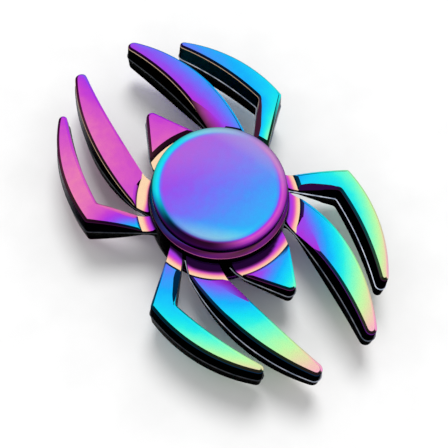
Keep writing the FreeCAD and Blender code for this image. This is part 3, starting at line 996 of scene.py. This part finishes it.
class Nodes:
    """Short calls for building one material's node tree."""

    def __init__(self, name):
        self.material = bpy.data.materials.new(name)
        self.material.use_nodes = True
        self.tree = self.material.node_tree
        self.shader = self.tree.nodes["Principled BSDF"]

    def add(self, kind, **settings):
        node = self.tree.nodes.new("ShaderNode" + kind)
        for key, value in settings.items():
            if key.startswith("in_"):
                node.inputs[int(key[3:])].default_value = value
            else:
                setattr(node, key, value)
        return node

    def link(self, output, target):
        self.tree.links.new(output, target)

    def set(self, **values):
        for key, value in values.items():
            self.shader.inputs[key.replace("_", " ")].default_value = value

    def math(self, operation, a, b):
        node = self.add("Math", operation=operation)
        for socket, value in zip(node.inputs, (a, b)):
            if isinstance(value, (int, float)):
                socket.default_value = value
            else:
                self.link(value, socket)
        return node.outputs[0]

    def noise(self, size_mm, detail=2.0):
        """Noise in object space whose features are about size_mm across."""
        place = self.add("TexCoord")
        node = self.add("TexNoise")
        node.inputs["Scale"].default_value = 1 / (size_mm * MM)
        node.inputs["Detail"].default_value = detail
        self.link(place.outputs["Object"], node.inputs["Vector"])
        return node.outputs["Fac"]

    def spread(self, value, low, high):
        """Maps 0..1 noise to low..high."""
        node = self.add("MapRange")
        node.inputs["From Min"].default_value = 0.3
        node.inputs["From Max"].default_value = 0.7
        node.inputs["To Min"].default_value = low
        node.inputs["To Max"].default_value = high
        self.link(value, node.inputs["Value"])
        return node.outputs["Result"]

    def bump(self, height, depth_mm, strength=1.0):
        node = self.add("Bump")
        node.inputs["Distance"].default_value = depth_mm * MM
        node.inputs["Strength"].default_value = strength
        self.link(height, node.inputs["Height"])
        self.link(node.outputs["Normal"], self.shader.inputs["Normal"])

    def ramp(self, value, stops):
        node = self.add("ValToRGB")
        elements = node.color_ramp.elements
        while len(elements) < len(stops):
            elements.new(0.5)
        for element, (place, colour) in zip(elements, stops):
            element.position = place
            element.color = colour
        self.link(value, node.inputs["Fac"])
        return node.outputs["Color"]

    def times(self, colour, factor):
        node = self.add("VectorMath", operation="SCALE")
        self.link(colour, node.inputs["Vector"])
        self.link(factor, node.inputs["Scale"])
        return node.outputs["Vector"]


def film_colour(n):
    """Colour of the interference film at the surface's film thickness."""
    film = n.add("Attribute", attribute_name="film")
    mottle = n.spread(n.noise(1.6, 4.0), -0.014, 0.014)
    thickness = n.math("ADD", film.outputs["Fac"], mottle)
    share = n.math("DIVIDE", thickness, FILM_END)
    places = [k / RAMP_STOPS for k in range(RAMP_STOPS + 1)]
    return n.ramp(share, [(place, interference(place * FILM_END)) for place in places])


def rainbow(name, roughness=0.22, tint=0.5, veiled=False):
    """Polished metal under a clear interference film, its colour scaled by the painted light and shade
    of the mesh's shade attribute.
    """
    n = Nodes(name)
    colour = film_colour(n)
    # Mixes in a painted reflection of the grey room, as much as the mesh asks for.
    if veiled:
        veil = n.add("Attribute", attribute_name="veil")
        mix = n.add("Mix", data_type="RGBA")
        n.link(veil.outputs["Fac"], mix.inputs["Factor"])
        n.link(colour, mix.inputs[6])
        mix.inputs[7].default_value = linear((190, 168, 208))
        colour = mix.outputs[2]
    shade = n.add("Attribute", attribute_name="shade")
    grain = n.spread(n.noise(0.12, 3.0), 0.93, 1.03)
    brightness = n.math("MULTIPLY", shade.outputs["Fac"], grain)
    n.link(n.times(colour, brightness), n.shader.inputs["Base Color"])
    n.set(Metallic=1.0)
    n.shader.inputs["Specular Tint"].default_value = (tint, tint, tint, 1)
    n.link(n.spread(n.noise(0.5, 5.0), roughness - 0.05, roughness + 0.05), n.shader.inputs["Roughness"])
    n.bump(n.noise(0.25, 2.0), 0.004, 0.25)
    return n.material


def dark_wall(name):
    """Walls of the casting: gloss, painted dark as painted shade for the dark reflection of the gap
    under the legs, with a trace of the film's colour."""
    n = Nodes(name)
    shade = n.add("Attribute", attribute_name="shade")
    grain = n.spread(n.noise(0.9, 4.0), 0.75, 1.2)
    brightness = n.math("MULTIPLY", shade.outputs["Fac"], grain)
    n.link(n.times(film_colour(n), brightness), n.shader.inputs["Base Color"])
    n.set(Metallic=1.0)
    n.shader.inputs["Specular Tint"].default_value = (0.12, 0.12, 0.14, 1)
    n.link(n.spread(n.noise(0.5, 4.0), 0.16, 0.26), n.shader.inputs["Roughness"])
    n.bump(n.noise(0.3, 3.0), 0.005, 0.3)
    return n.material


def under_wall():
    """Walls below the parting ridge: a dim grey band of painted reflection, then painted shade further
    down.
    """
    n = Nodes("casting_under_wall")
    place = n.add("TexCoord")
    split = n.add("SeparateXYZ")
    n.link(place.outputs["Object"], split.inputs["Vector"])
    depth = n.math("DIVIDE", n.math("ABSOLUTE", split.outputs["Z"], 0.0), 6 * MM)
    colour = n.ramp(depth, [
        (0.0, linear((150, 150, 144))),
        (0.10, linear((140, 140, 134))),
        (0.34, linear((110, 110, 104))),
        (0.46, linear((30, 30, 30))),
    ])
    shade = n.add("Attribute", attribute_name="shade")
    grain = n.spread(n.noise(1.4, 4.0), 0.7, 1.2)
    brightness = n.math("MULTIPLY", shade.outputs["Fac"], grain)
    n.link(n.times(colour, brightness), n.shader.inputs["Base Color"])
    n.set(Metallic=1.0)
    n.shader.inputs["Specular Tint"].default_value = (0.12, 0.12, 0.12, 1)
    n.link(n.spread(n.noise(0.5, 4.0), 0.2, 0.3), n.shader.inputs["Roughness"])
    n.bump(n.noise(0.3, 3.0), 0.005, 0.3)
    return n.material


def ridge_highlight():
    """The parting ridge, painted as a thin broken highlight line."""
    n = Nodes("casting_ridge")
    shade = n.add("Attribute", attribute_name="shade")
    tone = n.ramp(n.noise(2.2, 5.0), [(0.35, linear((140, 155, 180))), (0.65, linear((235, 240, 255)))])
    n.link(n.times(tone, shade.outputs["Fac"]), n.shader.inputs["Base Color"])
    n.set(Metallic=1.0)
    n.link(n.spread(n.noise(0.5, 4.0), 0.2, 0.3), n.shader.inputs["Roughness"])
    n.bump(n.noise(0.3, 3.0), 0.004, 0.3)
    return n.material


def ground_steel(name, grey, roughness, grain_mm=0.15):
    """Bright turned or ground steel with fine circular lay."""
    n = Nodes(name)
    place = n.add("TexCoord")
    split = n.add("SeparateXYZ")
    n.link(place.outputs["Object"], split.inputs["Vector"])
    square = n.math("ADD", n.math("MULTIPLY", split.outputs["X"], split.outputs["X"]),
                    n.math("MULTIPLY", split.outputs["Y"], split.outputs["Y"]))
    radius = n.math("SQRT", square, 0.0)
    join = n.add("CombineXYZ")
    n.link(radius, join.inputs["X"])
    n.link(split.outputs["Z"], join.inputs["Z"])
    lay = n.add("TexNoise")
    lay.inputs["Scale"].default_value = 1 / (grain_mm * MM)
    lay.inputs["Detail"].default_value = 3.0
    n.link(join.outputs["Vector"], lay.inputs["Vector"])
    tone = n.ramp(lay.outputs["Fac"], [
        (0.3, (grey * 0.82, grey * 0.82, grey * 0.84, 1)),
        (0.7, (grey, grey, grey * 1.01, 1)),
    ])
    n.link(tone, n.shader.inputs["Base Color"])
    n.set(Metallic=1.0)
    n.link(n.spread(n.noise(0.6, 4.0), roughness - 0.04, roughness + 0.06), n.shader.inputs["Roughness"])
    n.bump(lay.outputs["Fac"], 0.004, 0.4)
    return n.material


def black_oxide():
    """Blued steel with a faint mottle."""
    n = Nodes("black_oxide")
    tone = n.ramp(n.noise(0.7, 5.0), [(0.3, linear((28, 29, 33))), (0.7, linear((46, 46, 52)))])
    n.link(tone, n.shader.inputs["Base Color"])
    n.set(Metallic=0.9)
    n.link(n.spread(n.noise(0.2, 4.0), 0.34, 0.5), n.shader.inputs["Roughness"])
    n.bump(n.noise(0.12, 3.0), 0.006, 0.4)
    return n.material


def floor_finish():
    n = Nodes("floor_pale")
    tone = n.ramp(n.noise(9.0, 4.0), [(0.3, (0.60, 0.60, 0.60, 1)), (0.7, (0.63, 0.63, 0.63, 1))])
    n.link(tone, n.shader.inputs["Base Color"])
    n.set(Roughness=0.8)
    n.shader.inputs["Specular IOR Level"].default_value = 0.1
    return n.material


# ------------------------------------------------------------ put together

def finished(made, materials, sharp_angle=27):
    """Gives an object its zone materials and smooth shading."""
    mesh = made.data
    zones = np.empty(len(mesh.polygons), np.int32)
    mesh.polygons.foreach_get("material_index", zones)
    mesh.materials.clear()
    for material in materials:
        mesh.materials.append(material)
    mesh.polygons.foreach_set("material_index", zones)
    made.data.shade_smooth()
    made.data.set_sharp_from_angle(angle=math.radians(sharp_angle))
    return made


body, legs = casting()
paint_casting(body, legs)
top_film = rainbow("rainbow_film")
finished(body, [top_film, rainbow("film_bevel", 0.2, 0.2), rainbow("film_line", 0.2),
                dark_wall("casting_wall"), under_wall(), ridge_highlight(),
                rainbow("film_strip", 0.2), rainbow("film_facet", 0.2, 0.2),
                rainbow("film_collar", 0.2, 0.2), rainbow("film_collar_edge", 0.2)])
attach(body, "rotor")
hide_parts("spider_body")

cap_materials = [rainbow("cap_film", 0.16, veiled=True), rainbow("cap_rim_film", 0.14, veiled=True),
                 rainbow("cap_side_film", 0.2, 0.2), rainbow("cap_under_film", 0.3)]
for name, side, node in (("upper_finger_cap", 1, "top_cap"), ("lower_finger_cap", -1, "bottom_cap")):
    piece = cap(name, side)
    paint_cap(piece)
    finished(piece, cap_materials)
    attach(piece, "core")
    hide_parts(node)

FINISHES = {
    "bearing_steel": ground_steel("ground_bearing_steel", 0.62, 0.2),
    "ball_steel": ground_steel("polished_ball_steel", 0.72, 0.09, 0.4),
    "pressed_steel": ground_steel("pressed_shield_steel", 0.55, 0.3, 0.3),
    "spring_wire": ground_steel("drawn_spring_wire", 0.5, 0.28, 0.1),
    "washer_steel": ground_steel("brushed_washer_steel", 0.55, 0.34),
    "black_oxide_steel": black_oxide(),
}

def finish_for(node):
    """The finish for a CAD node, by the kind of piece it is."""
    if node.startswith("ball_"):
        return "ball_steel"
    if node.startswith("bearing_"):
        return "bearing_steel"
    if "wire" in node:
        return "spring_wire"
    if "shield" in node or "cage" in node:
        return "pressed_steel"
    if "washer" in node:
        return "washer_steel"
    return "black_oxide_steel"


for node_name, node in frame["nodes"].items():
    if node_name in ("spider_body", "top_cap", "bottom_cap"):
        continue
    slot_name = finish_for(node_name)
    node.data.materials.clear()
    node.data.materials.append(FINISHES[slot_name])

# The pieces don't mirror one another, so the film shows only the even light
# of the studio.
for piece in bpy.data.objects:
    piece.visible_glossy = False

# --------------------------------------------------------- stage and camera

FLOOR_HALF = 1.2
floor_mesh = bpy.data.meshes.new("floor")
floor_z = cad_box[0].z
floor_mesh.from_pydata(
    [(x * FLOOR_HALF, y * FLOOR_HALF, floor_z) for x, y in ((-1, -1), (1, -1), (1, 1), (-1, 1))],
    [], [(0, 1, 2, 3)])
floor_mesh.materials.append(floor_finish())
floor = object_from(floor_mesh)

scene = bpy.context.scene
scene.view_settings.view_transform = "Standard"
world = bpy.data.worlds.new("studio")
world.use_nodes = True
world.node_tree.nodes["Background"].inputs["Color"].default_value = (1, 1, 1, 1)
world.node_tree.nodes["Background"].inputs["Strength"].default_value = 1.0
scene.world = world

# Camera: bearing and height of the view, distance, roll about the line of
# sight, focal length and the small shift that frames the spinner.
CAMERA_BEARING = math.radians(41.436)
CAMERA_ELEVATION = math.radians(64.774)
CAMERA_ROLL = math.radians(4.749)
CAMERA_DISTANCE = 203.4
AIM_HEIGHT = 3.15
LENS = 87.45
SHIFT = (0.0114, -0.0587)

rotate = Matrix.Rotation(-CAMERA_BEARING, 3, "Z")
ahead = rotate @ Vector((0, math.cos(CAMERA_ELEVATION), -math.sin(CAMERA_ELEVATION)))
level = rotate @ Vector((1, 0, 0))
upward = level.cross(ahead)
right = level * math.cos(CAMERA_ROLL) + upward * math.sin(CAMERA_ROLL)
up = upward * math.cos(CAMERA_ROLL) - level * math.sin(CAMERA_ROLL)
camera = bpy.data.objects.new("camera", bpy.data.cameras.new("camera"))
scene.collection.objects.link(camera)
place = (Vector((0, 0, AIM_HEIGHT)) - ahead * CAMERA_DISTANCE) * MM
turned = Matrix((right, up, -ahead)).transposed().to_4x4()
camera.matrix_world = Matrix.Translation(place) @ turned
camera.data.lens = LENS
camera.data.sensor_width = 36
camera.data.shift_x, camera.data.shift_y = SHIFT
camera.data.clip_start = 0.005
camera.data.clip_end = 5
scene.camera = camera

# Key light: high behind the spinner, so that soft shadows fall towards the
# camera.  It is hidden from mirror rays: the white surround makes the gloss.
KEY_STRENGTH = 2.4
KEY_SOFTNESS = math.radians(25)
KEY_ELEVATION = math.radians(65)
key = bpy.data.objects.new("key", bpy.data.lights.new("key", "SUN"))
key.data.energy = KEY_STRENGTH
key.data.angle = KEY_SOFTNESS
key_from = rotate @ Vector((0.0, math.cos(KEY_ELEVATION), math.sin(KEY_ELEVATION)))
key.matrix_world = key_from.to_track_quat("Z", "Y").to_matrix().to_4x4()
key.visible_glossy = False
scene.collection.objects.link(key)
